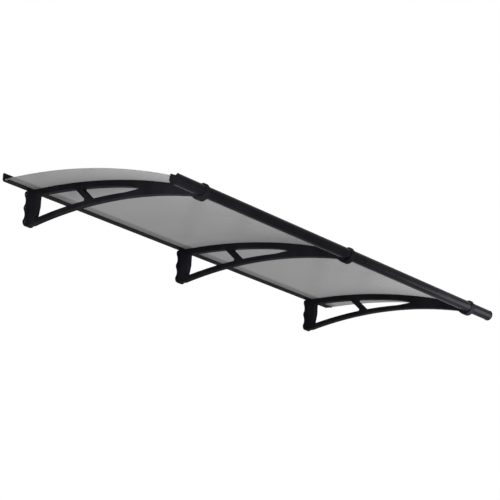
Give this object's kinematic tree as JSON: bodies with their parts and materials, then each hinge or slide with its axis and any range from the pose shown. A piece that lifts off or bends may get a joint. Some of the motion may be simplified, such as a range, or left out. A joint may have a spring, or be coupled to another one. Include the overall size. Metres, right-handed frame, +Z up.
{
  "type": "door awning",
  "caption": "Arched smoked sheet awning on open truss brackets with wall plates, a wall rail and a round front gutter.",
  "frame": {"origin": "centre of the middle bracket's wall plate, on its back face, in the plane of the wall", "axes": "+X along the wall, +Y into the wall, +Z up; the awning stands out towards -Y"},
  "size_m": [2.4, 0.97, 0.2133],
  "materials": {
    "canopy_sheet": "smoked, clear, glossy",
    "wall_rail": "black powder coat, satin",
    "wall_seal": "matt",
    "hood_strip": "matt",
    "ledge_strip": "matt",
    "rail_cap_left": "matt",
    "rail_cap_right": "matt",
    "gutter_tube": "black, satin",
    "gutter_strip": "matt",
    "gutter_cap_left": "matt",
    "gutter_cap_right": "matt",
    "bracket_left": "black powder coat, satin",
    "pad_left": "matt",
    "rail_screw_left": "bright",
    "hook_screw_left": "bright",
    "bracket_middle": "black powder coat, satin",
    "pad_middle": "matt",
    "rail_screw_middle": "bright",
    "hook_screw_middle": "bright",
    "bracket_right": "black powder coat, satin",
    "pad_right": "matt",
    "rail_screw_right": "bright",
    "hook_screw_right": "bright"
  },
  "bodies": {
    "root": {"canopy_sheet": "canopy_sheet", "wall_rail": "wall_rail", "wall_seal": "wall_seal", "hood_strip": "hood_strip", "ledge_strip": "ledge_strip", "rail_cap_left": "rail_cap_left", "rail_cap_right": "rail_cap_right", "gutter_tube": "gutter_tube", "gutter_strip": "gutter_strip", "gutter_cap_left": "gutter_cap_left", "gutter_cap_right": "gutter_cap_right", "bracket_left": "bracket_left", "pad_left": "pad_left", "rail_screw_left": "rail_screw_left", "hook_screw_left": "hook_screw_left", "bracket_middle": "bracket_middle", "pad_middle": "pad_middle", "rail_screw_middle": "rail_screw_middle", "hook_screw_middle": "hook_screw_middle", "bracket_right": "bracket_right", "pad_right": "pad_right", "rail_screw_right": "rail_screw_right", "hook_screw_right": "hook_screw_right"}
  },
  "joints": []
}
